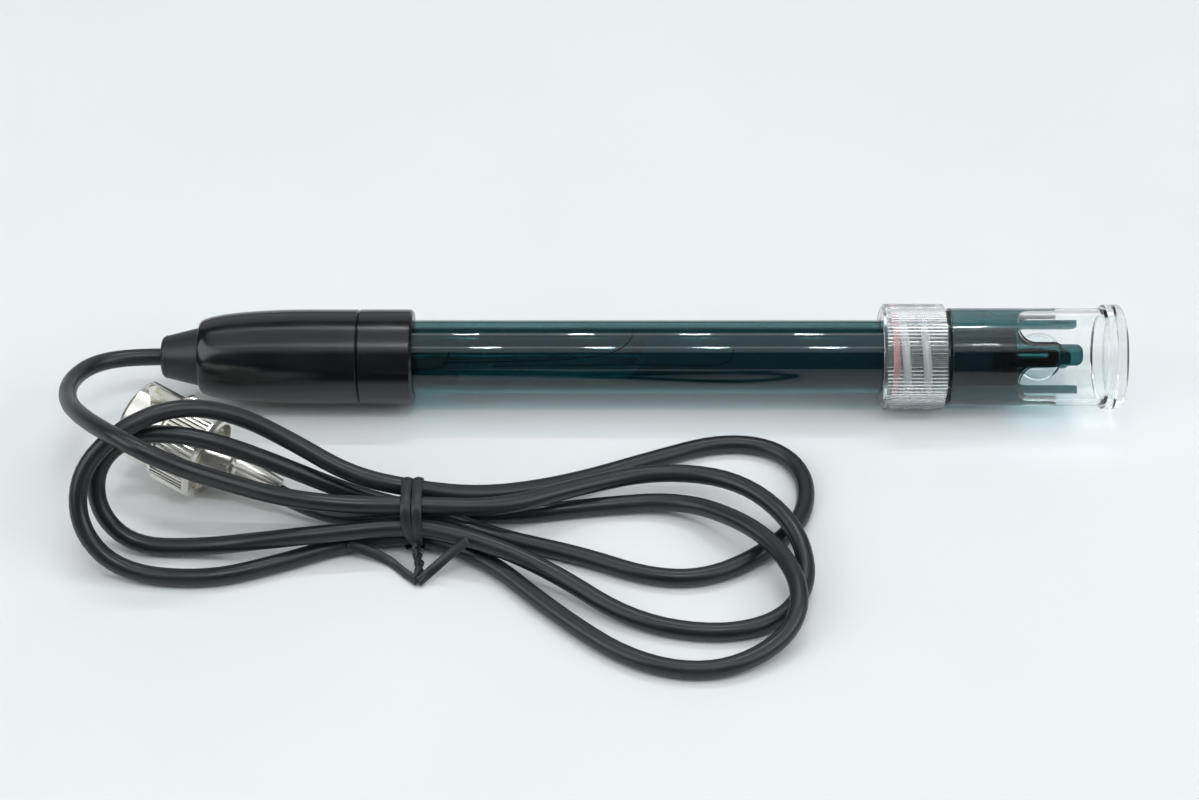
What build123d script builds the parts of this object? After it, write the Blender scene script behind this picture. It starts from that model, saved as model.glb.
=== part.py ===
from build123d import *
import math
import os

# A laboratory pH electrode lying on its side, with its storage bottle on and its lead looped in front of it.
# The electrode's axis runs along X, the bottle end at +X and the lead's end at -X. Z is up.
# The origin is at the bottom centre of the electrode with its bottle. All sizes are in millimetres.

# Lengths along the electrode, from the lead's end to the bottle's foot
relief_length = 6.25
shell_length = 25.8
collar_length = 8.8
shown_tube_length = 75.8
cap_length = 10.0
bottle_body_length = 25.5
foot_length = 3.35

# Body tube and its guard of four prongs
tube_radius = 6.0
tube_wall = 1.2
tube_socket_depth = 8.0
tip_setback = 7.05
notch_depth = 10.2
notch_width = 4.3
prong_count = 4
prong_corner = 1.1

# Head
head_radius = 7.7
head_end_radius = 5.55
head_ogive_length = 17.5
head_end_wall = 3.0
head_cavity_radius = 5.0
seam_groove = 0.25
collar_edge = 0.4

# Strain relief
relief_tip_radius = 3.5
relief_base_radius = 4.8
relief_corner = 1.0
spigot_radius = 3.3
spigot_length = 5.5

# Clearances
glue_gap = 0.05
running_gap = 0.06
slip_gap = 0.3
overrun = 1.0

# Cord and what it joins inside the head
cord_radius = 1.4
cable_inside_length = 15.75
clamp_radius = 2.4
clamp_length = 3.0
splice_radius = 0.8
splice_length = 4.0
wire_radius = 0.3

# Glass stem, bulb and the seals that hold it
stem_radius = 2.6
stem_wall = 0.6
stem_overhang = 2.0
bulb_radius = 3.9
bulb_wall = 0.5
bulb_recess = 2.3
signal_tip_radius = 0.6
signal_tip_length = 6.0
signal_tip_setback = 1.5
top_plug_length = 3.0
tip_plug_length = 4.0
tip_plug_setback = 0.2
junction_radius = 0.6
junction_offset = 3.7
junction_proud = 0.3
reference_offset = 3.6
reference_reach = 75.0
reference_bend = 0.9
reference_bend_run = 2.5

# Gel that fills the reference chamber, with the bubble left above it
gel_length = 86.0
bubble_length = 27.0
bubble_slope_length = 6.0
bubble_drop = 1.1

# Storage bottle
neck_radius = 7.0
neck_wall = 0.7
bottle_radius = 7.95
bottle_wall = 1.0
bottle_floor = 1.6
shoulder_gap = 0.2
shoulder_corner = 0.7
foot_radius = 8.5
foot_corner = 0.45
liquid_length = 11.0

# Bottle cap and seal
cap_radius = 8.6
cap_rib_height = 0.2
cap_rib_count = 84
cap_rib_crest_share = 0.3
cap_rib_root_share = 0.25
cap_plate = 1.3
cap_wall = 0.5
cap_corner = 0.4
seal_section_radius = 0.6

# Connector at the end of the lead, measured along its own axis from the ferrule's tail
plug_tail_place = (-56.5, -28.0, 3.6)
plug_heading = 25.0
plug_tilt = 14.5
ferrule_radius = 2.75
ferrule_tail_radius = 2.2
ferrule_length = 7.6
ferrule_mouth = 0.5
ferrule_edge = 0.2
barrel_notch_length = 0.6
barrel_notch_depth = 0.35
barrel_tail_radius = 3.7
barrel_edge = 0.3
barrel_front_radius = 4.35
barrel_collar_radius = 4.8
barrel_collar_length = 1.0
barrel_length = 5.8
plug_neck_radius = 4.0
plug_neck_length = 1.5
plug_flange_radius = 4.85
plug_flange_length = 1.6
sleeve_radius = 4.0
sleeve_wall = 0.45
sleeve_length = 8.4
insulator_length = 5.0
insulator_core_radius = 1.5
pin_radius = 0.67
pin_setback = 0.4
pin_point = 0.9
gasket_length = 1.0
gasket_radius = 4.7
nut_grip_radius = 7.25
nut_grip_length = 7.6
nut_recess_radius = 5.7
nut_recess_depth = 1.6
nut_front_radius = 6.3
nut_front_length = 6.5
nut_bore_radius = 4.95
nut_back_wall = 1.4
nut_corner = 0.5
knurl_count = 64
knurl_depth = 0.16
knurl_crest_share = 0.35
nut_lip = 0.9
bayonet_slot_width = 2.1
bayonet_slot_length = 4.2
bayonet_slot_slant = 38.0
bayonet_entry_depth = 0.75
bayonet_slot_count = 2

# Twist tie round the bundle
tie_place = -35.3
tie_ribbon_width = 1.5
tie_ribbon_gap = 0.2
tie_ribbon_thickness = 0.4
tie_slack = 0.3
tie_knot_length = 5.6
tie_knot_width = 1.5
tie_knot_turn = 450.0
tie_knot_place = (-34.6, -39.15, 3.4)
tie_knot_end = (-33.9, -44.6, 1.0)

# Places worked out from the lengths
overall_length = (
    relief_length + shell_length + collar_length + shown_tube_length
    + cap_length + bottle_body_length + foot_length
)
nose = -overall_length / 2
head_start = nose + relief_length
seam = head_start + shell_length
collar_end = seam + collar_length
cap_start = collar_end + shown_tube_length
cap_end = cap_start + cap_length
foot_start = cap_end + bottle_body_length
foot_end = foot_start + foot_length
prong_tip = foot_end - tip_setback
notch_root = prong_tip - notch_depth
tube_start = seam - tube_socket_depth
tube_bore = tube_radius - tube_wall
axis_height = cap_radius
cable_inside_end = nose + cable_inside_length
splice_end = cable_inside_end + splice_length
tip_plug_end = notch_root - tip_plug_setback
tip_plug_start = tip_plug_end - tip_plug_length
top_plug_end = tube_start + top_plug_length
bulb_centre = prong_tip - bulb_recess - bulb_radius
seal_place = cap_start + cap_plate + glue_gap + seal_section_radius
neck_mouth = seal_place + seal_section_radius + glue_gap
shoulder = cap_end + shoulder_gap
cap_bore = tube_radius + slip_gap

# The lead's route in millimetres, from the strain relief to the connector's ferrule
cord_route = [
    (-77.75, 0.0, 8.6),
    (-83.0, 0.0, 8.6),
    (-88.5, -3.0, 9.6),
    (-91.0, -10.0, 11.6),
    (-89.5, -19.5, 15.0),
    (-84.5, -29.5, 19.6),
    (-78.0, -37.5, 22.6),
    (-71.0, -40.0, 20.0),
    (-63.5, -38.0, 14.8),
    (-54.5, -36.5, 10.0),
    (-45.0, -36.0, 8.1),
    (-35.0, -36.0, 8.2),
    (-22.0, -35.0, 6.6),
    (-10.0, -28.0, 5.0),
    (2.5, -23.0, 4.0),
    (15.0, -26.5, 5.2),
    (23.0, -36.5, 5.2),
    (25.0, -46.0, 2.6),
    (21.0, -54.0, 1.5),
    (11.0, -57.5, 1.5),
    (-2.0, -54.5, 1.5),
    (-14.0, -45.0, 3.0),
    (-24.0, -41.0, 5.2),
    (-35.0, -37.5, 5.5),
    (-45.5, -38.5, 5.0),
    (-57.5, -40.0, 4.6),
    (-67.5, -38.5, 1.8),
    (-78.0, -38.0, 1.5),
    (-83.5, -35.0, 6.0),
    (-83.5, -31.5, 12.4),
    (-78.0, -29.0, 16.4),
    (-70.0, -29.5, 16.8),
    (-62.5, -30.0, 14.6),
    (-55.0, -29.0, 9.8),
    (-45.5, -29.0, 4.6),
    (-35.0, -31.0, 2.6),
    (-20.5, -31.0, 1.5),
    (-6.5, -28.5, 1.5),
    (6.0, -28.0, 2.2),
    (15.0, -36.0, 5.2),
    (21.0, -43.5, 5.4),
    (23.5, -53.5, 5.2),
    (20.0, -60.0, 2.2),
    (10.0, -65.5, 1.5),
    (-2.0, -63.0, 1.5),
    (-13.5, -52.5, 1.5),
    (-24.0, -40.5, 1.5),
    (-35.0, -36.0, 2.5),
    (-45.0, -37.0, 1.5),
    (-56.0, -42.0, 1.5),
    (-66.0, -45.5, 1.5),
    (-79.0, -44.0, 1.5),
    (-85.5, -40.0, 6.6),
    (-85.5, -35.0, 13.8),
    (-79.0, -31.5, 19.6),
    (-71.0, -27.0, 20.4),
    (-62.5, -24.5, 16.8),
    (-54.0, -26.0, 12.4),
    (-45.0, -30.0, 9.0),
    (-35.0, -32.5, 8.3),
    (-24.5, -30.0, 4.8),
    (-12.0, -24.0, 2.0),
    (1.5, -17.5, 1.5),
    (12.5, -13.0, 1.5),
    (21.5, -14.5, 1.5),
    (26.0, -21.5, 1.5),
    (25.0, -31.5, 1.5),
    (19.0, -39.0, 1.5),
    (10.0, -45.0, 1.5),
    (1.0, -45.0, 1.5),
    (-9.5, -40.0, 1.5),
    (-20.5, -36.5, 1.5),
    (-28.0, -34.5, 2.8),
    (-35.0, -33.5, 5.3),
    (-43.5, -33.0, 3.2),
    (-50.5, -30.8, 1.9),
    plug_tail_place,
]
cord_bend_share = 0.45

# Where the outer strands of the bundle pass through the tie, across the lead (Y, Z)
tie_strands = [(-30.6, 2.9), (-36.6, 2.25), (-38.05, 5.4), (-35.9, 8.15), (-31.8, 8.25)]

# Routes of the tie's two loose tails
tie_left_tail = [(-34.2, -43.9, 0.9), (-37.6, -43.6, 0.9), (-41.6, -41.4, 2.0), (-45.0, -39.9, 3.0)]
tie_right_tail = [(-33.8, -44.0, 0.9), (-31.0, -45.2, 1.4), (-28.4, -44.9, 4.0), (-26.3, -43.2, 7.0)]


def on_axis(solid):
    """Lifts a piece made about the X axis to the height of the electrode's axis."""
    return Pos(0, 0, axis_height) * solid


def turned(*corners):
    """A solid of revolution about X from its outline of (place, radius) corners."""
    return revolve(make_face(Polyline(*corners, close=True)), Axis.X)


def ring(start, end, outer, inner=0):
    """A plain ring, or a disc where the inner radius is zero."""
    return turned((start, inner), (end, inner), (end, outer), (start, outer))


def rod(start, end, radius, across=0, up=0):
    """A straight rod along X, set off from the axis."""
    disc = Plane.YZ * Circle(radius)
    return Pos(start, across, up) * extrude(disc, end - start)


def guard_notch():
    """One rounded notch of the guard, cut outwards from the axis towards +Z."""
    middle = notch_root + notch_width / 2
    slot = Pos(middle, 0) * Circle(notch_width / 2)
    slot += Pos(middle, 0) * Rectangle(
        prong_tip + overrun - middle, notch_width, align=(Align.MIN, Align.CENTER)
    )
    mouth = Pos(prong_tip, 0) * Rectangle(2 * prong_corner, notch_width + 2 * prong_corner)
    for side in (-1, 1):
        across = side * (notch_width / 2 + prong_corner)
        mouth -= Pos(prong_tip - prong_corner, across) * Circle(prong_corner)
    return extrude(slot + mouth, tube_radius + overrun)


def body_tube():
    """The long tube with the guard of rounded prongs at its tip."""
    tube = ring(tube_start, prong_tip, tube_radius, tube_bore)
    step = 360 / prong_count
    for index in range(prong_count):
        tube -= Rot((index + 0.5) * step, 0, 0) * guard_notch()
    return on_axis(tube)


def head_shell():
    """The ogive head: full at the seam, drawn in to the strain relief, hollow for the splices."""
    full = head_start + head_ogive_length
    bore = tube_radius + glue_gap
    cavity_start = head_start + head_end_wall
    hole = spigot_radius + glue_gap
    outline = Polyline(
        (full, head_radius),
        (seam - seam_groove, head_radius),
        (seam, head_radius - seam_groove),
        (seam, bore),
        (tube_start, bore),
        (tube_start, head_cavity_radius),
        (cavity_start, head_cavity_radius),
        (cavity_start, hole),
        (head_start, hole),
        (head_start, head_end_radius),
    )
    ogive = EllipticalCenterArc(
        (full, head_end_radius), head_ogive_length, head_radius - head_end_radius,
        start_angle=90, arc_size=90,
    )
    return on_axis(revolve(make_face(outline + ogive), Axis.X))


def head_collar():
    """The ring below the seam that closes the head on the tube."""
    bore = tube_radius + glue_gap
    collar = turned(
        (seam, bore),
        (seam, head_radius - seam_groove),
        (seam + seam_groove, head_radius),
        (collar_end - collar_edge, head_radius),
        (collar_end, head_radius - collar_edge),
        (collar_end, bore),
    )
    return on_axis(collar)


def strain_relief():
    """The moulded rubber boot: a smooth cone with a round nose, and a spigot in the head's end wall."""
    bore = cord_radius + glue_gap
    spigot_end = head_start + spigot_length
    outline = Polyline(
        (nose + relief_corner, relief_tip_radius),
        (head_start, relief_base_radius),
        (head_start, spigot_radius),
        (spigot_end, spigot_radius),
        (spigot_end, bore),
        (nose, bore),
        (nose, relief_tip_radius - relief_corner),
    )
    corner = CenterArc(
        (nose + relief_corner, relief_tip_radius - relief_corner), relief_corner, 90, 90
    )
    return on_axis(revolve(make_face(outline + corner), Axis.X))


def cable_inside():
    """The end of the lead inside the boot and the head."""
    return on_axis(ring(nose, cable_inside_end, cord_radius))


def cable_clamp():
    """The crimped sleeve that stops the lead from pulling out of the head."""
    start = cable_inside_end - clamp_length
    return on_axis(ring(start, cable_inside_end, clamp_radius, cord_radius + glue_gap))


def signal_splice():
    """The soldered joint between the lead's core and the silver wire."""
    return on_axis(ring(cable_inside_end, splice_end, splice_radius))


def glass_stem():
    """The glass stem down the middle of the tube, blown out to a thin bulb inside the guard."""
    start = tube_start - stem_overhang
    stem = ring(start, bulb_centre, stem_radius) + Pos(bulb_centre, 0, 0) * Sphere(bulb_radius)
    stem -= ring(start - overrun, bulb_centre, stem_radius - stem_wall)
    stem -= Pos(bulb_centre, 0, 0) * Sphere(bulb_radius - bulb_wall)
    return on_axis(stem)


def signal_wire():
    """The silver wire in the stem, thickened where it is coated inside the bulb."""
    end = bulb_centre + signal_tip_setback
    coated = end - signal_tip_length
    return on_axis(ring(splice_end, coated, wire_radius) + ring(coated, end, signal_tip_radius))


def reference_wire():
    """The second wire, from the clamp's face across to its own place beside the stem."""
    start = cable_inside_end
    leave = (cord_radius + clamp_radius) / 2
    bend = start + reference_bend_run
    path = FilletPolyline(
        (start, leave, 0),
        (bend, leave, 0),
        (bend + reference_bend_run, reference_offset, 0),
        (tube_start + reference_reach, reference_offset, 0),
        radius=reference_bend,
    )
    section = Plane((start, leave, 0), z_dir=(1, 0, 0)) * Circle(wire_radius)
    return on_axis(sweep(section, path))


def plug_disc(start, end):
    """A seal that fills the tube's bore round the stem."""
    return ring(start, end, tube_bore - glue_gap, stem_radius + glue_gap)


def reference_hole(start, end):
    """Room for the second wire through a seal or the gel."""
    return rod(start, end, wire_radius + glue_gap, reference_offset)


def top_plug():
    """The seal at the head end of the tube."""
    plug = plug_disc(tube_start, top_plug_end)
    plug -= reference_hole(tube_start - overrun, top_plug_end + overrun)
    return on_axis(plug)


def tip_plug():
    """The seal behind the bulb, with a hole for the ceramic junction."""
    plug = plug_disc(tip_plug_start, tip_plug_end)
    plug -= rod(
        tip_plug_start - overrun, tip_plug_end + overrun,
        junction_radius + glue_gap, -junction_offset,
    )
    return on_axis(plug)


def ceramic_junction():
    """The porous rod through the tip seal."""
    return on_axis(
        rod(tip_plug_start, tip_plug_end + junction_proud, junction_radius, -junction_offset)
    )


def reference_gel():
    """The gel, full bore at the tip, with a sloped end and a low level under the bubble."""
    start = tip_plug_start - gel_length
    gel = plug_disc(start, tip_plug_start)
    gel -= reference_hole(start - overrun, tube_start + reference_reach)
    top = tube_bore + overrun
    bubble = Plane.XZ * make_face(
        Polyline(
            (start - overrun, -bubble_drop),
            (start + bubble_length, -bubble_drop),
            (start + bubble_length + bubble_slope_length, top),
            (start - overrun, top),
            close=True,
        )
    )
    gel -= extrude(bubble, tube_bore + overrun, both=True)
    return on_axis(gel)


def storage_bottle():
    """The bottle: a threaded neck, a straight body with round shoulders and a wider foot."""
    neck_bore = neck_radius - neck_wall
    bore = bottle_radius - bottle_wall
    floor = foot_end - bottle_floor
    bottle = turned(
        (neck_mouth, neck_bore),
        (neck_mouth, neck_radius),
        (shoulder, neck_radius),
        (shoulder, bottle_radius - shoulder_corner),
        (shoulder + shoulder_corner, bottle_radius),
        (foot_start, bottle_radius),
        (foot_start, foot_radius - foot_corner),
        (foot_start + foot_corner, foot_radius),
        (foot_end - foot_corner, foot_radius),
        (foot_end, foot_radius - foot_corner),
        (foot_end, 0),
        (floor, 0),
        (floor, bore),
        (shoulder + bottle_wall, bore),
        (shoulder + bottle_wall, neck_bore),
    )
    return on_axis(bottle)


def storage_liquid():
    """The storage liquid held round the tube in the bottle's upper half."""
    start = shoulder + bottle_wall
    bore = bottle_radius - bottle_wall
    return on_axis(ring(start, start + liquid_length, bore - glue_gap, tube_radius + running_gap))


def bottle_seal():
    """The round seal that the cap squeezes against the neck and the tube."""
    middle = tube_radius + running_gap + seal_section_radius
    section = Pos(seal_place, middle) * Circle(seal_section_radius)
    return on_axis(revolve(section, Axis.X))


def rib_outline():
    """The cap's outline across its axis: flat-sided ribs all round, as corners."""
    pitch = 2 * math.pi / cap_rib_count
    root = cap_radius - cap_rib_height
    crest_half = cap_rib_crest_share * pitch / 2
    root_half = pitch / 2 - cap_rib_root_share * pitch / 2
    corners = []
    for index in range(cap_rib_count):
        middle = index * pitch
        for angle, radius in (
            (-root_half, root), (-crest_half, cap_radius), (crest_half, cap_radius), (root_half, root)
        ):
            corners.append((radius * math.sin(middle + angle), radius * math.cos(middle + angle)))
    return corners


def bottle_cap():
    """The screw cap: a plate with a hole for the tube, and a finely ribbed skirt over the neck."""
    root = cap_radius - cap_rib_height
    bore = root - cap_wall
    rib_start = cap_start + cap_corner
    outline = Plane.YZ * make_face(Polyline(*rib_outline(), close=True))
    skirt = Pos(rib_start, 0, 0) * extrude(outline, cap_end - rib_start)
    skirt -= ring(cap_start + cap_plate, cap_end + overrun, bore)
    skirt -= ring(rib_start - overrun, cap_start + cap_plate, cap_bore)
    edge = root * math.cos(math.pi / cap_rib_count)
    rim = turned(
        (cap_start, cap_bore), (cap_start, edge - cap_corner), (rib_start, edge), (rib_start, cap_bore)
    )
    return on_axis(skirt + rim)


def plug_plane():
    """The connector's own plane: its origin at the ferrule's tail, its normal towards the front."""
    heading = math.radians(plug_heading)
    tilt = math.radians(plug_tilt)
    front = (
        -math.cos(tilt) * math.cos(heading),
        math.cos(tilt) * math.sin(heading),
        math.sin(tilt),
    )
    side = (math.sin(heading), math.cos(heading), 0)
    return Plane(plug_tail_place, x_dir=side, z_dir=front)


def on_plug(*corners):
    """A solid of revolution about the connector's axis, from (radius, place) corners."""
    outline = Plane.XZ * make_face(Polyline(*corners, close=True))
    return revolve(outline, Axis.Z)


def plug_ring(start, end, outer, inner=0):
    """A plain ring or disc about the connector's axis."""
    return on_plug((inner, start), (outer, start), (outer, end), (inner, end))


# Places along the connector's axis
barrel_start = ferrule_length + barrel_notch_length
barrel_end = barrel_start + barrel_length
flange_start = barrel_end + plug_neck_length
flange_end = flange_start + plug_flange_length
sleeve_end = flange_end + sleeve_length
nut_start = barrel_end - nut_recess_depth
nut_shoulder = nut_start + nut_grip_length
nut_end = nut_shoulder + nut_front_length


def bnc_ferrule():
    """The crimp ferrule on the end of the lead, drawn in towards its tail."""
    bore = cord_radius + glue_gap
    ferrule = on_plug(
        (bore, 0),
        (ferrule_tail_radius - ferrule_edge, 0),
        (ferrule_tail_radius, ferrule_edge),
        (ferrule_radius, ferrule_length - ferrule_mouth),
        (ferrule_radius, ferrule_length),
        (bore, ferrule_length),
    )
    return plug_plane() * ferrule


def bnc_cable_end():
    """The end of the lead inside the ferrule."""
    return plug_plane() * plug_ring(0, ferrule_length, cord_radius)


def bnc_body():
    """The connector's body: a tapered barrel, a neck and flange for the nut, and the contact sleeve."""
    sleeve_bore = sleeve_radius - sleeve_wall
    collar_start = barrel_end - barrel_collar_length
    notch = ferrule_radius - barrel_notch_depth
    body = on_plug(
        (0, ferrule_length),
        (notch, ferrule_length),
        (notch, barrel_start),
        (barrel_tail_radius - barrel_edge, barrel_start),
        (barrel_tail_radius, barrel_start + barrel_edge),
        (barrel_front_radius, collar_start - barrel_edge),
        (barrel_collar_radius, collar_start),
        (barrel_collar_radius, barrel_end - barrel_edge),
        (barrel_collar_radius - barrel_edge, barrel_end),
        (plug_neck_radius, barrel_end),
        (plug_neck_radius, flange_start),
        (plug_flange_radius, flange_start),
        (plug_flange_radius, flange_end),
        (sleeve_radius, flange_end),
        (sleeve_radius, sleeve_end),
        (sleeve_bore, sleeve_end),
        (sleeve_bore, flange_end),
        (0, flange_end),
    )
    return plug_plane() * body


def bnc_insulator():
    """The stepped insulator that carries the centre pin."""
    hole = pin_radius + glue_gap
    wide_end = flange_end + insulator_length / 2
    insulator = on_plug(
        (hole, flange_end),
        (sleeve_radius - sleeve_wall - glue_gap, flange_end),
        (sleeve_radius - sleeve_wall - glue_gap, wide_end),
        (insulator_core_radius, wide_end),
        (insulator_core_radius, flange_end + insulator_length),
        (hole, flange_end + insulator_length),
    )
    return plug_plane() * insulator


def bnc_pin():
    """The centre pin, with a blunt point just inside the sleeve's mouth."""
    end = sleeve_end - pin_setback
    return plug_plane() * on_plug(
        (0, flange_end),
        (pin_radius, flange_end),
        (pin_radius, end - pin_point),
        (pin_radius / 2, end),
        (0, end),
    )


def bnc_gasket():
    """The rubber gasket at the foot of the contact sleeve."""
    return plug_plane() * plug_ring(
        flange_end, flange_end + gasket_length, gasket_radius, sleeve_radius + glue_gap
    )


def knurl_outline():
    """The grip's outline across the connector's axis: flat-topped ridges all round, as corners."""
    pitch = 2 * math.pi / knurl_count
    crest_half = knurl_crest_share * pitch / 2
    corners = []
    for index in range(knurl_count):
        middle = index * pitch
        for angle, radius in (
            (-pitch / 2, nut_grip_radius - knurl_depth),
            (-crest_half, nut_grip_radius),
            (crest_half, nut_grip_radius),
        ):
            corners.append((radius * math.cos(middle + angle), radius * math.sin(middle + angle)))
    return corners


def bayonet_slot():
    """One slanted slot through the nut's wall and its entry groove inside, on the +X side."""
    middle = nut_shoulder + nut_front_length / 2
    tangent = Plane((0, 0, middle), x_dir=(0, 1, 0), z_dir=(1, 0, 0))
    slot = tangent * (Rot(0, 0, bayonet_slot_slant) * SlotCenterToCenter(
        bayonet_slot_length, bayonet_slot_width
    ))
    cut = extrude(slot, nut_front_radius + overrun)
    reach = bayonet_slot_length / 2 * math.cos(math.radians(bayonet_slot_slant))
    entry = Pos(0, reach, middle) * Box(
        nut_bore_radius + bayonet_entry_depth, bayonet_slot_width,
        nut_front_length / 2 + overrun, align=(Align.MIN, Align.CENTER, Align.MIN),
    )
    return cut + entry


def nut_blank():
    """The nut before its knurl and slots: recessed at the back, bored for the plug's body."""
    hole = plug_neck_radius + running_gap
    wall_start = barrel_end + running_gap
    wall_end = barrel_end + nut_back_wall
    return on_plug(
        (nut_recess_radius, nut_start),
        (nut_grip_radius - nut_corner, nut_start),
        (nut_grip_radius, nut_start + nut_corner),
        (nut_grip_radius, nut_shoulder - nut_corner),
        (nut_grip_radius - nut_corner, nut_shoulder),
        (nut_front_radius, nut_shoulder),
        (nut_front_radius, nut_end - nut_corner),
        (nut_front_radius - nut_corner, nut_end),
        (nut_bore_radius, nut_end),
        (nut_bore_radius, wall_end),
        (hole, wall_end),
        (hole, wall_start),
        (nut_recess_radius, wall_start),
    )


def bnc_nut():
    """The coupling nut: a knurled grip between plain lips, a plain front with two slanted slots."""
    grip_start = nut_start + nut_lip
    grip_end = nut_shoulder - nut_lip
    ridges = extrude(make_face(Polyline(*knurl_outline(), close=True)), grip_end - grip_start)
    around = plug_ring(grip_start, grip_end, nut_grip_radius + overrun)
    nut = nut_blank() - (around - Pos(0, 0, grip_start) * ridges)
    for index in range(bayonet_slot_count):
        nut -= Rot(0, 0, 90 + index * 360 / bayonet_slot_count) * bayonet_slot()
    return plug_plane() * nut


def cord_bends():
    """The radius of each bend of the lead, as large as the runs beside it allow."""
    points = [Vector(*place) for place in cord_route]
    bends = []
    for before, here, after in zip(points, points[1:], points[2:]):
        shorter = min((here - before).length, (after - here).length)
        turn = math.radians((here - before).get_angle(after - here))
        bends.append(cord_bend_share * shorter / math.tan(turn / 2))
    return bends


def cord():
    """The lead from the strain relief to the connector, in three loose loops."""
    path = FilletPolyline(*cord_route, radius=cord_bends())
    section = Plane(cord_route[0], z_dir=(-1, 0, 0)) * Circle(cord_radius)
    print("cord length", round(path.length, 1))
    return sweep(section, path)


def tie_band(start, width):
    """A band of the tie round the bundle, drawn round the outer strands."""
    core = make_face(Polyline(*tie_strands, close=True))
    inside = offset(core, cord_radius + tie_slack)
    outside = offset(core, cord_radius + tie_slack + tie_ribbon_thickness)
    return Pos(start, 0, 0) * extrude(Plane.YZ * (outside - inside), width)


def tie_turns():
    """Two turns side by side, joined where the ribbon steps across under the twisted part."""
    width = 2 * tie_ribbon_width + tie_ribbon_gap
    start = tie_place - width / 2
    step = tie_band(start, width) & Pos(*tie_knot_place) * Box(
        2 * width, tie_ribbon_width, tie_ribbon_width
    )
    turns = tie_band(start, tie_ribbon_width)
    turns += tie_band(start + tie_ribbon_width + tie_ribbon_gap, tie_ribbon_width)
    return turns + step


def tie_tail(points):
    """A loose end of the tie, a flat ribbon along a short route."""
    path = Spline(*points)
    section = Plane(path @ 0, z_dir=path % 0) * Rectangle(
        tie_ribbon_width * 0.9, tie_ribbon_thickness
    )
    return sweep(section, path)


def tie_knot():
    """The twisted part, where the two ends wind round each other."""
    start = Vector(*tie_knot_place)
    heading = (Vector(*tie_knot_end) - start).normalized()
    plane = Plane(start, z_dir=heading)
    section = Rectangle(tie_knot_width, tie_knot_width / 2)
    twisted = Solid.extrude_linear_with_rotation(
        section.face().outer_wire(), (0, 0, 0), (0, 0, tie_knot_length), tie_knot_turn
    )
    return plane * twisted


def twist_tie():
    """The tie: two turns side by side, the twisted part and two loose tails."""
    tie = tie_turns() + tie_knot()
    tie += tie_tail(tie_left_tail)
    tie += tie_tail(tie_right_tail)
    return tie


pieces = {
    "body_tube": body_tube,
    "head_shell": head_shell,
    "head_collar": head_collar,
    "strain_relief": strain_relief,
    "cable_inside": cable_inside,
    "cable_clamp": cable_clamp,
    "signal_splice": signal_splice,
    "glass_stem": glass_stem,
    "signal_wire": signal_wire,
    "reference_wire": reference_wire,
    "top_plug": top_plug,
    "tip_plug": tip_plug,
    "ceramic_junction": ceramic_junction,
    "reference_gel": reference_gel,
    "storage_bottle": storage_bottle,
    "storage_liquid": storage_liquid,
    "bottle_seal": bottle_seal,
    "bottle_cap": bottle_cap,
    "bnc_ferrule": bnc_ferrule,
    "bnc_cable_end": bnc_cable_end,
    "bnc_body": bnc_body,
    "bnc_insulator": bnc_insulator,
    "bnc_pin": bnc_pin,
    "bnc_gasket": bnc_gasket,
    "bnc_nut": bnc_nut,
    "cord": cord,
    "twist_tie": twist_tie,
}

os.makedirs("parts", exist_ok=True)
print("cord bend radii", [round(radius, 1) for radius in cord_bends()])
for name, make in pieces.items():
    export_step(make(), "parts/" + name + ".step")
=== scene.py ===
import math
import bmesh
import bpy
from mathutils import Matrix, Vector


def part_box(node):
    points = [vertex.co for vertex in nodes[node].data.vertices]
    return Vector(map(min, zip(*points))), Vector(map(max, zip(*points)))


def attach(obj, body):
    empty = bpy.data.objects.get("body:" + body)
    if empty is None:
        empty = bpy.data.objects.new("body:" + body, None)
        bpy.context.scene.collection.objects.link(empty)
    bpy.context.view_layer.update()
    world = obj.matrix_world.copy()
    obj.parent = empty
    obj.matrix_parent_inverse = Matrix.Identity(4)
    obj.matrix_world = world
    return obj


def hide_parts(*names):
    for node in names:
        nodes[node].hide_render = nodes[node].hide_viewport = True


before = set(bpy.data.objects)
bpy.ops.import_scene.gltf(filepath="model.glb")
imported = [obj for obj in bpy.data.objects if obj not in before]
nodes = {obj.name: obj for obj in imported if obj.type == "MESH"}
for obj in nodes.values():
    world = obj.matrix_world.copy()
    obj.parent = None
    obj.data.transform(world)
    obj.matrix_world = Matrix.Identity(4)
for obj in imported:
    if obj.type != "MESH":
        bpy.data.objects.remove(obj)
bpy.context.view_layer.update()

MM = 0.001
scene = bpy.context.scene
# The electrode's axis runs along X at this height; the bottle is at +X and the head at -X.
AXIS_HEIGHT = (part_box("storage_bottle")[0][2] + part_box("storage_bottle")[1][2]) / 2

# Camera: above and in front, looking down at the electrode
CAMERA_PLACE = (-0.00675, -0.3321, 0.2685)
CAMERA_DOWN = 39.0
CAMERA_LENS = 77.86
SENSOR_WIDTH = 36.0
CLIP_START = 0.01


def make_camera():
    """The camera, which sees the part as the photograph does."""
    data = bpy.data.cameras.new("camera")
    data.lens = CAMERA_LENS
    data.sensor_width = SENSOR_WIDTH
    data.sensor_fit = "HORIZONTAL"
    data.clip_start = CLIP_START
    camera = bpy.data.objects.new("camera", data)
    camera.location = CAMERA_PLACE
    camera.rotation_euler = (math.radians(90 - CAMERA_DOWN), 0, 0)
    scene.collection.objects.link(camera)
    scene.camera = camera


make_camera()

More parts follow.
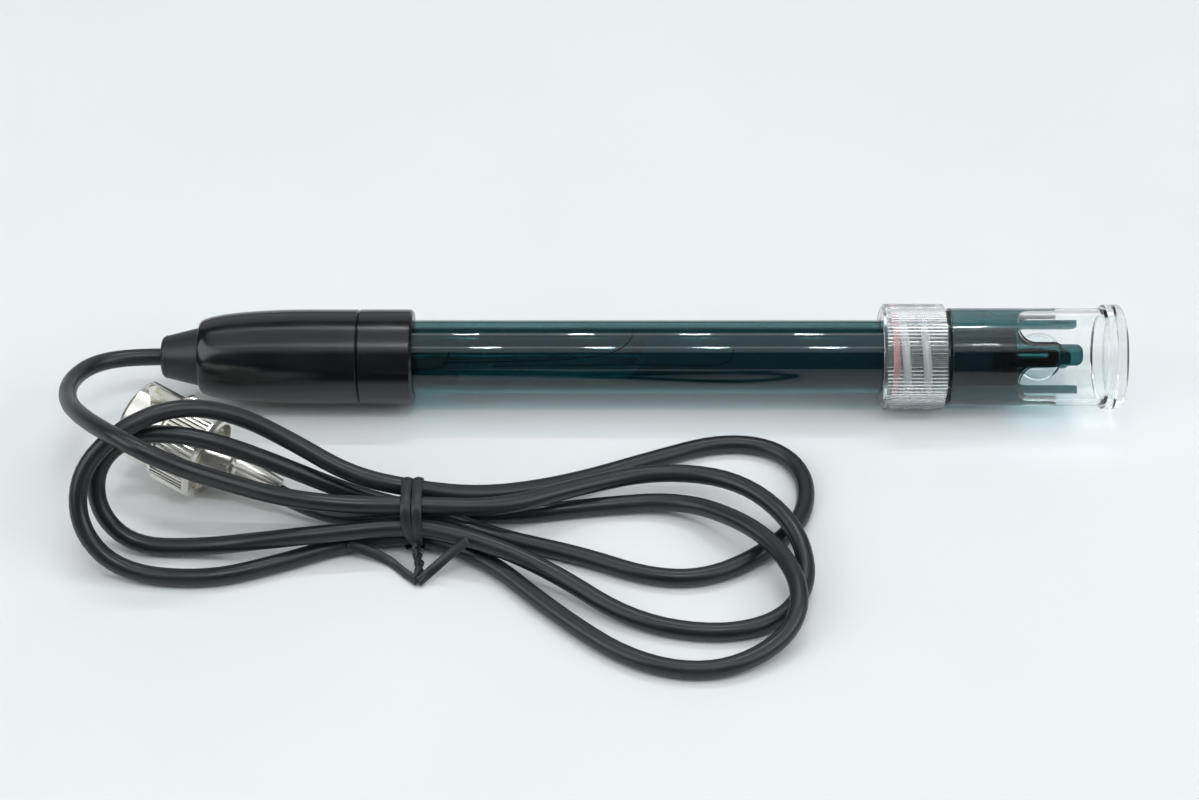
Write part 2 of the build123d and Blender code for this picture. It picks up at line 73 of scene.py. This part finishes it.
# The lead: its route in millimetres, from the strain relief to the plug's ferrule
CORD_DIAMETER = 0.0028
CORD_ROUTE = [
    (-77.75, 0.0, 8.6),
    (-83.0, 0.0, 8.6),
    (-88.5, -3.0, 9.6),
    (-91.0, -10.0, 11.6),
    (-89.5, -19.5, 15.0),
    (-84.5, -29.5, 19.6),
    (-78.0, -37.5, 22.6),
    (-71.0, -40.0, 20.0),
    (-63.5, -38.0, 14.8),
    (-54.5, -36.5, 10.0),
    (-45.0, -36.0, 8.1),
    (-35.0, -36.0, 8.2),
    (-22.0, -35.0, 6.6),
    (-10.0, -28.0, 5.0),
    (2.5, -23.0, 4.0),
    (15.0, -26.5, 5.2),
    (23.0, -36.5, 5.2),
    (25.0, -46.0, 2.6),
    (21.0, -54.0, 1.5),
    (11.0, -57.5, 1.5),
    (-2.0, -54.5, 1.5),
    (-14.0, -45.0, 3.0),
    (-24.0, -41.0, 5.2),
    (-35.0, -37.5, 5.5),
    (-45.5, -38.5, 5.0),
    (-57.5, -40.0, 4.6),
    (-67.5, -38.5, 1.8),
    (-78.0, -38.0, 1.5),
    (-83.5, -35.0, 6.0),
    (-83.5, -31.5, 12.4),
    (-78.0, -29.0, 16.4),
    (-70.0, -29.5, 16.8),
    (-62.5, -30.0, 14.6),
    (-55.0, -29.0, 9.8),
    (-45.5, -29.0, 4.6),
    (-35.0, -31.0, 2.6),
    (-20.5, -31.0, 1.5),
    (-6.5, -28.5, 1.5),
    (6.0, -28.0, 2.2),
    (15.0, -36.0, 5.2),
    (21.0, -43.5, 5.4),
    (23.5, -53.5, 5.2),
    (20.0, -60.0, 2.2),
    (10.0, -65.5, 1.5),
    (-2.0, -63.0, 1.5),
    (-13.5, -52.5, 1.5),
    (-24.0, -40.5, 1.5),
    (-35.0, -36.0, 2.5),
    (-45.0, -37.0, 1.5),
    (-56.0, -42.0, 1.5),
    (-66.0, -45.5, 1.5),
    (-79.0, -44.0, 1.5),
    (-85.5, -40.0, 6.6),
    (-85.5, -35.0, 13.8),
    (-79.0, -31.5, 19.6),
    (-71.0, -27.0, 20.4),
    (-62.5, -24.5, 16.8),
    (-54.0, -26.0, 12.4),
    (-45.0, -30.0, 9.0),
    (-35.0, -32.5, 8.3),
    (-24.5, -30.0, 4.8),
    (-12.0, -24.0, 2.0),
    (1.5, -17.5, 1.5),
    (12.5, -13.0, 1.5),
    (21.5, -14.5, 1.5),
    (26.0, -21.5, 1.5),
    (25.0, -31.5, 1.5),
    (19.0, -39.0, 1.5),
    (10.0, -45.0, 1.5),
    (1.0, -45.0, 1.5),
    (-9.5, -40.0, 1.5),
    (-20.5, -36.5, 1.5),
    (-28.0, -34.5, 2.8),
    (-35.0, -33.5, 5.3),
    (-43.5, -33.0, 3.2),
    (-50.5, -30.8, 1.9),
    (-56.5, -28.0, 3.6),
]


CURVE_STEPS = 6
CURVE_ORDER = 3
SECTION_STEPS = 6


def new_curve(name, points, radius):
    """A round-sectioned smooth curve that follows points given in metres."""
    data = bpy.data.curves.new(name, "CURVE")
    data.dimensions = "3D"
    data.resolution_u = CURVE_STEPS
    data.bevel_depth = radius
    data.bevel_resolution = SECTION_STEPS
    data.use_fill_caps = True
    spline = data.splines.new("NURBS")
    spline.points.add(len(points) - 1)
    for point, place in zip(spline.points, points):
        point.co = (*place, 1)
    spline.order_u = CURVE_ORDER
    spline.use_endpoint_u = True
    piece = bpy.data.objects.new(name, data)
    scene.collection.objects.link(piece)
    return piece


def make_cord(material):
    """The jacket of the lead along its whole route, in place of the cord's solid."""
    route = [Vector(place) * MM for place in CORD_ROUTE]
    lead = new_curve("lead", route, CORD_DIAMETER / 2)
    lead.data.materials.append(material)
    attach(lead, "electrode")
    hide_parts("cord")
    return lead


# Material helpers
NOISE_LOW = 0.35
NOISE_HIGH = 0.65
GRAIN_DETAIL = 4.0
CLOUD_DETAIL = 2.0
CLOUD_COARSER = 12
BUMP_DEPTH = 0.00002


def principled(name, colour, roughness, metallic=0.0, ior=1.5, transmission=0.0, gloss=1.0,
               coat=0.0):
    """A material with its principled shader, ready for the nodes that vary its finish."""
    material = bpy.data.materials.new(name)
    material.use_nodes = True
    shader = material.node_tree.nodes["Principled BSDF"]
    shader.inputs["Base Color"].default_value = (*colour, 1)
    shader.inputs["Roughness"].default_value = roughness
    shader.inputs["Metallic"].default_value = metallic
    shader.inputs["IOR"].default_value = ior
    shader.inputs["Transmission Weight"].default_value = transmission
    shader.inputs["Specular Tint"].default_value = (gloss, gloss, gloss, 1)
    shader.inputs["Coat Weight"].default_value = coat
    return material, shader


def noise(material, scale, detail):
    """Noise in object space."""
    tree = material.node_tree
    place = tree.nodes.new("ShaderNodeTexCoord")
    texture = tree.nodes.new("ShaderNodeTexNoise")
    texture.inputs["Scale"].default_value = scale
    texture.inputs["Detail"].default_value = detail
    tree.links.new(place.outputs["Object"], texture.inputs["Vector"])
    return texture


def vary_roughness(material, shader, source, low, high):
    """Lets the noise move the roughness between two values."""
    tree = material.node_tree
    spread = tree.nodes.new("ShaderNodeMapRange")
    spread.inputs["From Min"].default_value = NOISE_LOW
    spread.inputs["From Max"].default_value = NOISE_HIGH
    spread.inputs["To Min"].default_value = low
    spread.inputs["To Max"].default_value = high
    tree.links.new(source.outputs["Fac"], spread.inputs["Value"])
    tree.links.new(spread.outputs["Result"], shader.inputs["Roughness"])


def vary_colour(material, shader, source, dark, light):
    """Lets the noise move the colour between two shades."""
    tree = material.node_tree
    ramp = tree.nodes.new("ShaderNodeValToRGB")
    for element, place, shade in zip(
        ramp.color_ramp.elements, (NOISE_LOW, NOISE_HIGH), (dark, light)
    ):
        element.position = place
        element.color = (*shade, 1)
    tree.links.new(source.outputs["Fac"], ramp.inputs["Fac"])
    tree.links.new(ramp.outputs["Color"], shader.inputs["Base Color"])


def add_bump(material, shader, source, strength):
    """Turns the noise into fine relief."""
    tree = material.node_tree
    bump = tree.nodes.new("ShaderNodeBump")
    bump.inputs["Strength"].default_value = strength
    bump.inputs["Distance"].default_value = BUMP_DEPTH
    tree.links.new(source.outputs["Fac"], bump.inputs["Height"])
    tree.links.new(bump.outputs["Normal"], shader.inputs["Normal"])


def finish(name, colour, roughness, spread=0.05, scale=900.0, bump=0.05, shade=0.12, **extra):
    """A full material: colour, roughness and relief that vary a little over the surface."""
    material, shader = principled(name, colour, roughness, **extra)
    grain = noise(material, scale, GRAIN_DETAIL)
    cloud = noise(material, scale / CLOUD_COARSER, CLOUD_DETAIL)
    vary_roughness(material, shader, cloud, max(0.0, roughness - spread), roughness + spread)
    dark = [channel * (1 - shade) for channel in colour]
    light = [min(1.0, channel * (1 + shade)) for channel in colour]
    vary_colour(material, shader, cloud, dark, light)
    add_bump(material, shader, grain, bump)
    return material


def pale_shadow(material, shade):
    """Lets lamp light through a clear material, dimmed to a shade."""
    tree = material.node_tree
    output = tree.nodes["Material Output"]
    rays = tree.nodes.new("ShaderNodeLightPath")
    clear = tree.nodes.new("ShaderNodeBsdfTransparent")
    clear.inputs["Color"].default_value = (*shade, 1)
    mix = tree.nodes.new("ShaderNodeMixShader")
    tree.links.new(rays.outputs["Is Shadow Ray"], mix.inputs["Fac"])
    tree.links.new(tree.nodes["Principled BSDF"].outputs["BSDF"], mix.inputs[1])
    tree.links.new(clear.outputs["BSDF"], mix.inputs[2])
    tree.links.new(mix.outputs["Shader"], output.inputs["Surface"])


WET_BLEND = 0.3 * MM
WET_COAT = 0.15


def wet_beyond(material, place):
    """Past a place along X the surface stands in liquid, which takes most of its gloss away."""
    tree = material.node_tree
    spot = tree.nodes.new("ShaderNodeTexCoord")
    parts = tree.nodes.new("ShaderNodeSeparateXYZ")
    level = tree.nodes.new("ShaderNodeMapRange")
    level.inputs["From Min"].default_value = place
    level.inputs["From Max"].default_value = place + WET_BLEND
    level.inputs["To Min"].default_value = 1
    level.inputs["To Max"].default_value = WET_COAT
    tree.links.new(spot.outputs["Object"], parts.inputs["Vector"])
    tree.links.new(parts.outputs["X"], level.inputs["Value"])
    shader = tree.nodes["Principled BSDF"]
    tree.links.new(level.outputs["Result"], shader.inputs["Coat Weight"])


def wear(node_names, material):
    """Gives a material to CAD nodes."""
    for name in node_names:
        slots = nodes[name].data.materials
        slots.clear()
        slots.append(material)


# Finishes
jacket = finish("jacket", (0.012, 0.0145, 0.0165), 0.36, spread=0.06, scale=1400, bump=0.08)
head_black = finish("head_black", (0.005, 0.0065, 0.008), 0.2, spread=0.03, scale=1600)
boot_rubber = finish("boot_rubber", (0.01, 0.0125, 0.014), 0.4, scale=1800, bump=0.1)
tie_plastic = finish(
    "tie_plastic", (0.013, 0.0155, 0.0175), 0.42, spread=0.06, scale=1500, bump=0.1,
)
tube_green = finish(
    "tube_green", (0.03, 0.135, 0.15), 0.03, spread=0.02, scale=300, bump=0.01,
    shade=0.05, transmission=1.0, ior=1.1, coat=1.0,
)
stem_glass = finish(
    "stem_glass", (0.95, 0.98, 0.98), 0.02, spread=0.01, scale=300, bump=0.01,
    shade=0.02, transmission=1.0, ior=1.05, gloss=0.5,
)
bottle_clear = finish(
    "bottle_clear", (0.96, 0.975, 0.975), 0.03, spread=0.02, scale=250, bump=0.02,
    shade=0.01, transmission=1.0, ior=1.49, gloss=0.55,
)
cap_clear = finish(
    "cap_clear", (0.9, 0.92, 0.925), 0.08, spread=0.03, scale=500, bump=0.06,
    shade=0.02, transmission=0.97, ior=1.49,
)
liquid_clear = finish(
    "liquid_clear", (0.96, 0.985, 0.985), 0.0, spread=0.005, scale=120, bump=0.0,
    shade=0.01, transmission=1.0, ior=1.33, gloss=0.0,
)
thread_clear = finish(
    "thread_clear", (0.88, 0.9, 0.905), 0.25, spread=0.05, scale=400, bump=0.03,
    shade=0.02, transmission=0.6, ior=1.49,
)
gel_dark = finish(
    "gel_dark", (0.32, 0.52, 0.55), 0.05, spread=0.02, scale=200, bump=0.02,
    shade=0.05, transmission=0.5, ior=1.36,
)
seal_red = finish("seal_red", (0.46, 0.17, 0.16), 0.4, spread=0.05, scale=1500, bump=0.08)
nickel = finish(
    "nickel", (0.86, 0.84, 0.77), 0.27, spread=0.06, scale=900, bump=0.05,
    shade=0.04, metallic=1.0,
)
silver = finish("silver", (0.7, 0.69, 0.66), 0.3, spread=0.08, scale=1200, metallic=1.0)
gold = finish("gold", (0.85, 0.62, 0.28), 0.25, spread=0.05, scale=1200, metallic=1.0)
insulator_white = finish("insulator_white", (0.85, 0.85, 0.82), 0.35, scale=1200)
ceramic_white = finish("ceramic_white", (0.82, 0.81, 0.77), 0.7, scale=2500, bump=0.2)
# Painted shade: a near-black, glossless colour for the lines at the gel's edges in the tube
painted_gel_edge_shade = finish("painted_gel_edge_shade", (0.001, 0.004, 0.0045), 0.6, scale=900, gloss=0.0)
resin_dark = finish("resin_dark", (0.02, 0.03, 0.03), 0.35, scale=900)

LIQUID_START = 50.1 * MM
TUBE_SHADE = (0.2, 0.6, 0.65)
BOTTLE_SHADE = (0.78, 0.79, 0.79)
CAP_SHADE = (0.7, 0.71, 0.71)
wet_beyond(tube_green, LIQUID_START)
pale_shadow(tube_green, TUBE_SHADE)
pale_shadow(bottle_clear, BOTTLE_SHADE)
pale_shadow(cap_clear, CAP_SHADE)

wear(["head_shell", "head_collar"], head_black)
wear(["strain_relief"], boot_rubber)
wear(["cable_inside", "bnc_cable_end"], jacket)
wear(["cable_clamp", "signal_splice"], silver)
wear(["signal_wire", "reference_wire"], silver)
wear(["glass_stem"], stem_glass)
wear(["top_plug", "tip_plug"], resin_dark)
wear(["ceramic_junction"], ceramic_white)
wear(["reference_gel"], gel_dark)
wear(["storage_bottle"], bottle_clear)
wear(["bottle_cap"], cap_clear)
wear(["bottle_seal", "bnc_gasket"], seal_red)
wear(["bnc_ferrule", "bnc_body", "bnc_nut"], nickel)
wear(["bnc_insulator"], insulator_white)
wear(["bnc_pin"], gold)


# Making pieces
def built_mesh(build, name, smooth=False):
    """Closes a mesh under construction, with its faces turned outwards."""
    bmesh.ops.recalc_face_normals(build, faces=build.faces)
    mesh = bpy.data.meshes.new(name)
    build.to_mesh(mesh)
    build.free()
    for face in mesh.polygons:
        face.use_smooth = smooth
    return mesh


def link(name, mesh, material, body):
    """Puts a new piece in the scene on its body and in its finish."""
    piece = bpy.data.objects.new(name, mesh)
    scene.collection.objects.link(piece)
    piece.data.materials.append(material)
    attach(piece, body)
    return piece


# The tube and its liquid: skins whose far end is notched into prongs, with a wall from a modifier
PRONG_COUNT = 4
PRONG_TURN = math.radians(49)  # of the first prong, from the top towards the front
PRONG_HALF = 1.7 * MM
PRONG_CORNER = 1.2 * MM
ROOT_FILLET = 2.4 * MM
ARC_STEPS = 8
GUARD_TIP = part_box("body_tube")[1][0]
NOTCH_DEPTH = 10.2 * MM
GUARD_ROOT = GUARD_TIP - NOTCH_DEPTH
TUBE_RADIUS = 6.0 * MM
TUBE_WALL = 1.2 * MM
TUBE_RIM = 0.15 * MM
RIM_STEPS = 2
RIM_ANGLE = math.radians(50)


def prong_columns(root, tip):
    """Columns of the skin over one prong and the halves of the notches beside it.

    Each is its angle, where the skin under the prong ends, and the prong's tip or None.
    """
    half, corner, fillet = PRONG_HALF, PRONG_CORNER, ROOT_FILLET
    shoulder = root + fillet
    quarter = [math.pi / 2 * step / ARC_STEPS for step in range(ARC_STEPS + 1)]
    prong = [(0.0, tip)]
    prong += [(half - corner + corner * math.sin(turn), tip - corner + corner * math.cos(turn))
              for turn in quarter]
    columns = [(across / TUBE_RADIUS, shoulder, end) for across, end in prong]
    foot = [(half + fillet - fillet * math.cos(turn), shoulder - fillet * math.sin(turn))
            for turn in quarter[1:]]
    columns += [(across / TUBE_RADIUS, end, None) for across, end in foot]
    limit = math.pi / PRONG_COUNT
    last = columns[-1][0]
    columns += [(last + (limit - last) * step / ARC_STEPS, root, None)
                for step in range(1, ARC_STEPS + 1)]
    mirrored = [(-angle, low, high) for angle, low, high in columns[:0:-1]]
    return mirrored[1:] + columns


def pronged_mesh(name, radius, start, root, tip):
    """A tube's outer skin with its far end cut into prongs, the first of them at PRONG_TURN."""
    build = bmesh.new()
    rows = []
    for index in range(PRONG_COUNT):
        middle = PRONG_TURN + 2 * math.pi * index / PRONG_COUNT
        for angle, low, high in prong_columns(root, tip):
            turn = -(middle + angle)
            across, up = radius * math.sin(turn), AXIS_HEIGHT + radius * math.cos(turn)
            places = (start, low) if high is None else (start, low, high)
            rows.append([build.verts.new((place, across, up)) for place in places])
    for first, second in zip(rows, rows[1:] + rows[:1]):
        build.faces.new([first[0], second[0], second[1], first[1]])
        if len(first) == 3 and len(second) == 3:
            build.faces.new([first[1], second[1], second[2], first[2]])
    return built_mesh(build, name, smooth=True)


def walled(piece, wall, edge):
    """Gives a skin its wall inwards and rounds its edges."""
    shell = piece.modifiers.new("wall", "SOLIDIFY")
    shell.thickness = wall
    shell.offset = -1
    shell.use_even_offset = True
    rounding = piece.modifiers.new("rim", "BEVEL")
    rounding.width = edge
    rounding.segments = RIM_STEPS
    rounding.limit_method = "ANGLE"
    rounding.angle_limit = RIM_ANGLE
    rounding.harden_normals = True


def make_tube():
    """The green tube with its guard of prongs."""
    mesh = pronged_mesh(
        "guarded_tube", TUBE_RADIUS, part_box("body_tube")[0][0], GUARD_ROOT, GUARD_TIP
    )
    tube = link("guarded_tube", mesh, tube_green, "electrode")
    walled(tube, TUBE_WALL, TUBE_RIM)
    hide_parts("body_tube")


FILM_RADIUS = 7.0 * MM
FILM_DEPTH = 1.03 * MM
FILM_SETBACK = 3.4 * MM
FILM_ROOT_GAP = 0.1 * MM
FILM_RIM = 0.1 * MM


def make_liquid():
    """The storage liquid: held round the tube, and as films between the prongs and the bottle."""
    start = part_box("storage_liquid")[0][0]
    root = GUARD_ROOT + FILM_ROOT_GAP
    mesh = pronged_mesh("liquid_fill", FILM_RADIUS, start, root, GUARD_TIP - FILM_SETBACK)
    fill = link("liquid_fill", mesh, liquid_clear, "bottle")
    walled(fill, FILM_DEPTH, FILM_RIM)
    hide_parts("storage_liquid")
    return fill


THREAD_PITCH = 3.3 * MM
THREAD_START = 41.9 * MM
THREAD_TURNS = 2.0
THREAD_ROOT = 6.95 * MM
THREAD_CREST = 7.75 * MM
THREAD_FOOT_WIDTH = 1.3 * MM
THREAD_CREST_WIDTH = 0.5 * MM
THREAD_STEPS = 160
THREAD_RUN_OUT = 14  # the ridge comes up over one part in this many of its length
THREAD_END_RISE = 0.04


def make_thread():
    """The bottle neck's thread: one right-handed ridge that runs out at both ends."""
    build = bmesh.new()
    rings = []
    for step in range(THREAD_STEPS + 1):
        share = step / THREAD_STEPS
        turn = -2 * math.pi * THREAD_TURNS * share
        middle = THREAD_START + THREAD_PITCH * THREAD_TURNS * share
        rise = min(1.0, share * THREAD_RUN_OUT, (1 - share) * THREAD_RUN_OUT)
        rise = max(THREAD_END_RISE, rise)
        crest = THREAD_ROOT + (THREAD_CREST - THREAD_ROOT) * rise
        corners = [(-THREAD_FOOT_WIDTH / 2, THREAD_ROOT), (-THREAD_CREST_WIDTH / 2, crest),
                   (THREAD_CREST_WIDTH / 2, crest), (THREAD_FOOT_WIDTH / 2, THREAD_ROOT)]
        rings.append([
            build.verts.new((
                middle + along, radius * math.sin(turn), AXIS_HEIGHT + radius * math.cos(turn)
            ))
            for along, radius in corners
        ])
    for first, second in zip(rings, rings[1:]):
        for corner in range(4):
            after = (corner + 1) % 4
            build.faces.new([first[corner], second[corner], second[after], first[after]])
    build.faces.new(rings[0])
    build.faces.new(rings[-1])
    link("neck_thread", built_mesh(build, "neck_thread"), thread_clear, "bottle")


make_tube()
liquid = make_liquid()
make_thread()
for clear in (liquid, nodes["glass_stem"]):
    clear.visible_shadow = False


# The twist tie: two turns of ribbon round the bundle, a twist and two tails
TIE_WIDTH = 1.55 * MM
TIE_THICKNESS = 0.5 * MM
TIE_SECTION = 14
TIE_STEPS = 6
TIE_TWIST_STEPS = 12
TIE_TWIST_TURNS = 1.25
MARGIN_SHARE = 0.55
RIDGE_SHARE = 0.45
RIDGE_HALF_SHARE = 0.35
# Places in millimetres; a turn's second value is how far it leans to its own side
TIE_TURN = [
    (-34.5, 0.0, -39.5, 3.2),
    (-34.9, 0.6, -39.5, 5.0),
    (-35.2, 0.8, -39.2, 7.0),
    (-35.3, 0.85, -38.0, 9.1),
    (-35.3, 0.85, -36.2, 9.95),
    (-35.3, 0.85, -34.2, 10.1),
    (-35.3, 0.85, -32.2, 9.95),
    (-35.3, 0.85, -30.6, 8.8),
    (-35.3, 0.85, -29.9, 6.2),
    (-35.3, 0.85, -29.0, 3.6),
    (-35.3, 0.85, -29.3, 1.5),
    (-35.3, 0.85, -30.9, 0.55),
    (-35.3, 0.85, -33.5, 0.5),
    (-35.2, 0.8, -36.2, 0.55),
    (-34.9, 0.6, -38.2, 1.1),
    (-34.5, 0.0, -39.5, 2.6),
]
TIE_TWIST = [(-34.5, -39.2, 3.6), (-34.4, -41.0, 3.0), (-34.0, -42.9, 2.1), (-34.1, -45.2, 1.1)]
TIE_LEFT_TAIL = [
    (-34.3, -45.2, 1.0), (-36.4, -43.1, 0.9), (-38.6, -40.8, 0.95), (-41.4, -39.5, 1.6),
    (-45.1, -38.8, 2.8),
]
TIE_RIGHT_TAIL = [
    (-34.1, -45.5, 1.0), (-32.7, -44.2, 1.6), (-30.8, -43.3, 3.0), (-28.5, -42.8, 5.2),
    (-26.5, -42.8, 7.2),
]
PICTURE_UP = Vector((0, 0.63, 0.777))


def smooth_path(places, steps=TIE_STEPS):
    """An even curve through places given in millimetres, as points in metres."""
    path = [Vector(place) * MM for place in places]
    points = []
    for index in range(len(path) - 1):
        before, here = path[max(index - 1, 0)], path[index]
        ahead, beyond = path[index + 1], path[min(index + 2, len(path) - 1)]
        for step in range(steps):
            share = step / steps
            points.append(
                here + (ahead - before) * share / 2
                + (2 * before - 5 * here + 4 * ahead - beyond) * share ** 2 / 2
                + (3 * here - before - 3 * ahead + beyond) * share ** 3 / 2
            )
    return points + [path[-1]]


def ribbon_edge(turn):
    """The ribbon's section: two flat margins and a rounded ridge over its wire."""
    across = math.cos(turn)
    ridge = RIDGE_SHARE * math.exp(-(across / RIDGE_HALF_SHARE) ** 2)
    rise = math.sin(turn) * (MARGIN_SHARE + ridge)
    return across * TIE_WIDTH / 2, rise * TIE_THICKNESS / 2


def add_ribbon(build, points, sides):
    """A closed ribbon along points, its width turned towards the given side at each."""
    rings = []
    last = len(points) - 1
    for index, (place, side) in enumerate(zip(points, sides)):
        ahead = (points[min(index + 1, last)] - points[max(index - 1, 0)]).normalized()
        across = (side - side.dot(ahead) * ahead).normalized()
        up = ahead.cross(across)
        edge = [ribbon_edge(2 * math.pi * step / TIE_SECTION) for step in range(TIE_SECTION)]
        rings.append([build.verts.new(place + across * wide + up * high) for wide, high in edge])
    for first, second in zip(rings, rings[1:]):
        for step in range(TIE_SECTION):
            after = (step + 1) % TIE_SECTION
            build.faces.new([first[step], first[after], second[after], second[step]])
    build.faces.new(rings[0])
    build.faces.new(rings[-1])


def make_tie():
    """The tie's turns, tails and twisted pair as one piece."""
    build = bmesh.new()
    for side in (-1, 1):
        turn = smooth_path([(x + side * spread, y, z) for x, spread, y, z in TIE_TURN])
        add_ribbon(build, turn, [Vector((1, 0, 0))] * len(turn))
    for tail in (TIE_LEFT_TAIL, TIE_RIGHT_TAIL):
        points = smooth_path(tail)
        add_ribbon(build, points, [PICTURE_UP] * len(points))
    twist = smooth_path(TIE_TWIST, steps=TIE_TWIST_STEPS)
    for start in (0, math.pi / 2):
        turns = [start + 2 * math.pi * TIE_TWIST_TURNS * step / len(twist)
                 for step in range(len(twist))]
        sides = [Vector((math.cos(turn), 0, math.sin(turn))) for turn in turns]
        add_ribbon(build, twist, sides)
    mesh = built_mesh(build, "tie_ribbon", smooth=True)
    tie = link("tie_ribbon", mesh, tie_plastic, "electrode")
    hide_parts("twist_tie")
    return tie


tie = make_tie()
lead = make_cord(jacket)

# Painted shade: near-black lines in the tube's wall where the gel behind it ends, on the side
# towards the front: (place along X, degrees above level)
EDGE_RADIUS = 0.09 * MM
PAINTED_EDGE_SHADE_LINES = [
    [(-1.4, 88), (-1.5, 74), (-1.8, 64), (-2.8, 54), (-4.6, 44), (-8.4, 37), (-15, 32), (-32, 29)],
    [(14.8, 51), (14.6, 40), (14.0, 31), (12.6, 25), (8, 24), (2, 26), (-10, 25), (-24, 23)],
    [(-30.9, 46), (-31.1, 34), (-31.8, 22), (-34, 18), (-37, 18)],
]


def make_painted_edge_shade_lines():
    """Near-black lines in the wall of the tube, painted shade where the gel behind it ends."""
    for index, edge in enumerate(PAINTED_EDGE_SHADE_LINES):
        reach = TUBE_RADIUS - EDGE_RADIUS / 2
        points = []
        for place, level in edge:
            turn = math.radians(level)
            points.append((
                place * MM, -reach * math.cos(turn), AXIS_HEIGHT + reach * math.sin(turn)
            ))
        line = new_curve("gel_edge_%d" % index, points, EDGE_RADIUS)
        # Each line gets the painted shade colour
        line.data.materials.append(painted_gel_edge_shade)
        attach(line, "electrode")


make_painted_edge_shade_lines()


# Floor, lights and world
FLOOR_SIZE = 4.0
FLOOR_DROP = 0.00005
FLOOR_COLOUR = (0.845, 0.852, 0.857)
LIGHT_COLOUR = (0.94, 0.98, 1.0)


def make_floor():
    """The pale floor, which stands for the whole background."""
    build = bmesh.new()
    bmesh.ops.create_grid(build, x_segments=1, y_segments=1, size=FLOOR_SIZE)
    mesh = bpy.data.meshes.new("floor")
    build.to_mesh(mesh)
    build.free()
    floor = bpy.data.objects.new("floor", mesh)
    floor.location.z = -FLOOR_DROP
    scene.collection.objects.link(floor)
    material = finish(
        "floor_white", FLOOR_COLOUR, 0.35, spread=0.03, scale=200, bump=0.01, shade=0.01
    )
    floor.data.materials.append(material)


def area_light(name, place, target, size, power):
    """A rectangle of cool white light that faces its target."""
    data = bpy.data.lights.new(name, "AREA")
    data.shape = "RECTANGLE"
    data.size, data.size_y = size
    data.energy = power
    data.color = LIGHT_COLOUR
    lamp = bpy.data.objects.new(name, data)
    lamp.location = place
    heading = Vector(target) - Vector(place)
    lamp.rotation_euler = heading.to_track_quat("-Z", "Y").to_euler()
    scene.collection.objects.link(lamp)


SOFTBOX_HEIGHT = 1.0
SOFTBOX_MIDDLE = -0.135
SOFTBOX_SIZE = (1.4, 1.33)
SOFTBOX_POWER = 4.7
SIDE_PANEL_PLACE = (1.1, -0.4, 0.8)
SIDE_PANEL_SIZE = (1.2, 0.8)
SIDE_PANEL_POWER = 7.8
BACK_PANEL_PLACE = (0, 1.1, 0.62)
BACK_PANEL_SIZE = (2.0, 0.9)
BACK_PANEL_POWER = 3.0
STRIP_ROWS = (0.40, -0.42)
STRIP_DROP = 0.01
STRIP_SIZE = (1.3, 0.1)
STRIP_POWER = 0.7
LAMP_PLACES = (-0.081, -0.017, 0.047, 0.111, 0.2)
LAMP_STAGGER = 0.011
LAMP_DROP = 0.02
LAMP_SIZE = 0.014
LAMP_POWER = 0.24
WORLD_COLOUR = (0.86, 0.89, 0.91)
WORLD_SEEN = 0.9
WORLD_LIGHT = 0.1


def make_lights():
    """A softbox overhead, panels beside and behind, and two rows of small lamps under strips."""
    area_light(
        "softbox", (0, SOFTBOX_MIDDLE, SOFTBOX_HEIGHT), (0, SOFTBOX_MIDDLE, 0),
        SOFTBOX_SIZE, SOFTBOX_POWER,
    )
    for side in (-1, 1):
        place = (side * SIDE_PANEL_PLACE[0], *SIDE_PANEL_PLACE[1:])
        area_light("side_panel_%d" % side, place, (0, 0, 0), SIDE_PANEL_SIZE, SIDE_PANEL_POWER)
    behind = (0, 0, BACK_PANEL_PLACE[2])
    area_light("back_panel", BACK_PANEL_PLACE, behind, BACK_PANEL_SIZE, BACK_PANEL_POWER)
    for row, place in enumerate(STRIP_ROWS):
        strip = (0, place, SOFTBOX_HEIGHT - STRIP_DROP)
        area_light("strip_%d" % row, strip, (0, place, 0), STRIP_SIZE, STRIP_POWER)
        for index, across in enumerate(LAMP_PLACES):
            spot = (across + row * LAMP_STAGGER, place, SOFTBOX_HEIGHT - LAMP_DROP)
            name = "spot_%d_%d" % (row, index)
            area_light(name, spot, (0, 0, 0), (LAMP_SIZE, LAMP_SIZE), LAMP_POWER)


def make_world():
    """A pale surround, bright to the camera and behind clear parts, dim for light and gloss."""
    world = bpy.data.worlds.new("world")
    scene.world = world
    world.use_nodes = True
    tree = world.node_tree
    background = tree.nodes["Background"]
    background.inputs["Color"].default_value = (*WORLD_COLOUR, 1)
    rays = tree.nodes.new("ShaderNodeLightPath")
    heading = tree.nodes.new("ShaderNodeTexCoord")
    parts = tree.nodes.new("ShaderNodeSeparateXYZ")
    away = tree.nodes.new("ShaderNodeMath")
    away.operation = "GREATER_THAN"
    away.inputs[1].default_value = 0
    through = tree.nodes.new("ShaderNodeMath")
    through.operation = "MULTIPLY"
    seen = tree.nodes.new("ShaderNodeMath")
    seen.operation = "MAXIMUM"
    tree.links.new(heading.outputs["Generated"], parts.inputs["Vector"])
    tree.links.new(parts.outputs["Y"], away.inputs[0])
    tree.links.new(rays.outputs["Is Transmission Ray"], through.inputs[0])
    tree.links.new(away.outputs["Value"], through.inputs[1])
    tree.links.new(rays.outputs["Is Camera Ray"], seen.inputs[0])
    tree.links.new(through.outputs["Value"], seen.inputs[1])
    level = tree.nodes.new("ShaderNodeMapRange")
    level.inputs["To Min"].default_value = WORLD_LIGHT
    level.inputs["To Max"].default_value = WORLD_SEEN
    tree.links.new(seen.outputs["Value"], level.inputs["Value"])
    tree.links.new(level.outputs["Result"], background.inputs["Strength"])


make_floor()
make_lights()
make_world()
scene.view_settings.view_transform = "Standard"

bpy.context.view_layer.update()
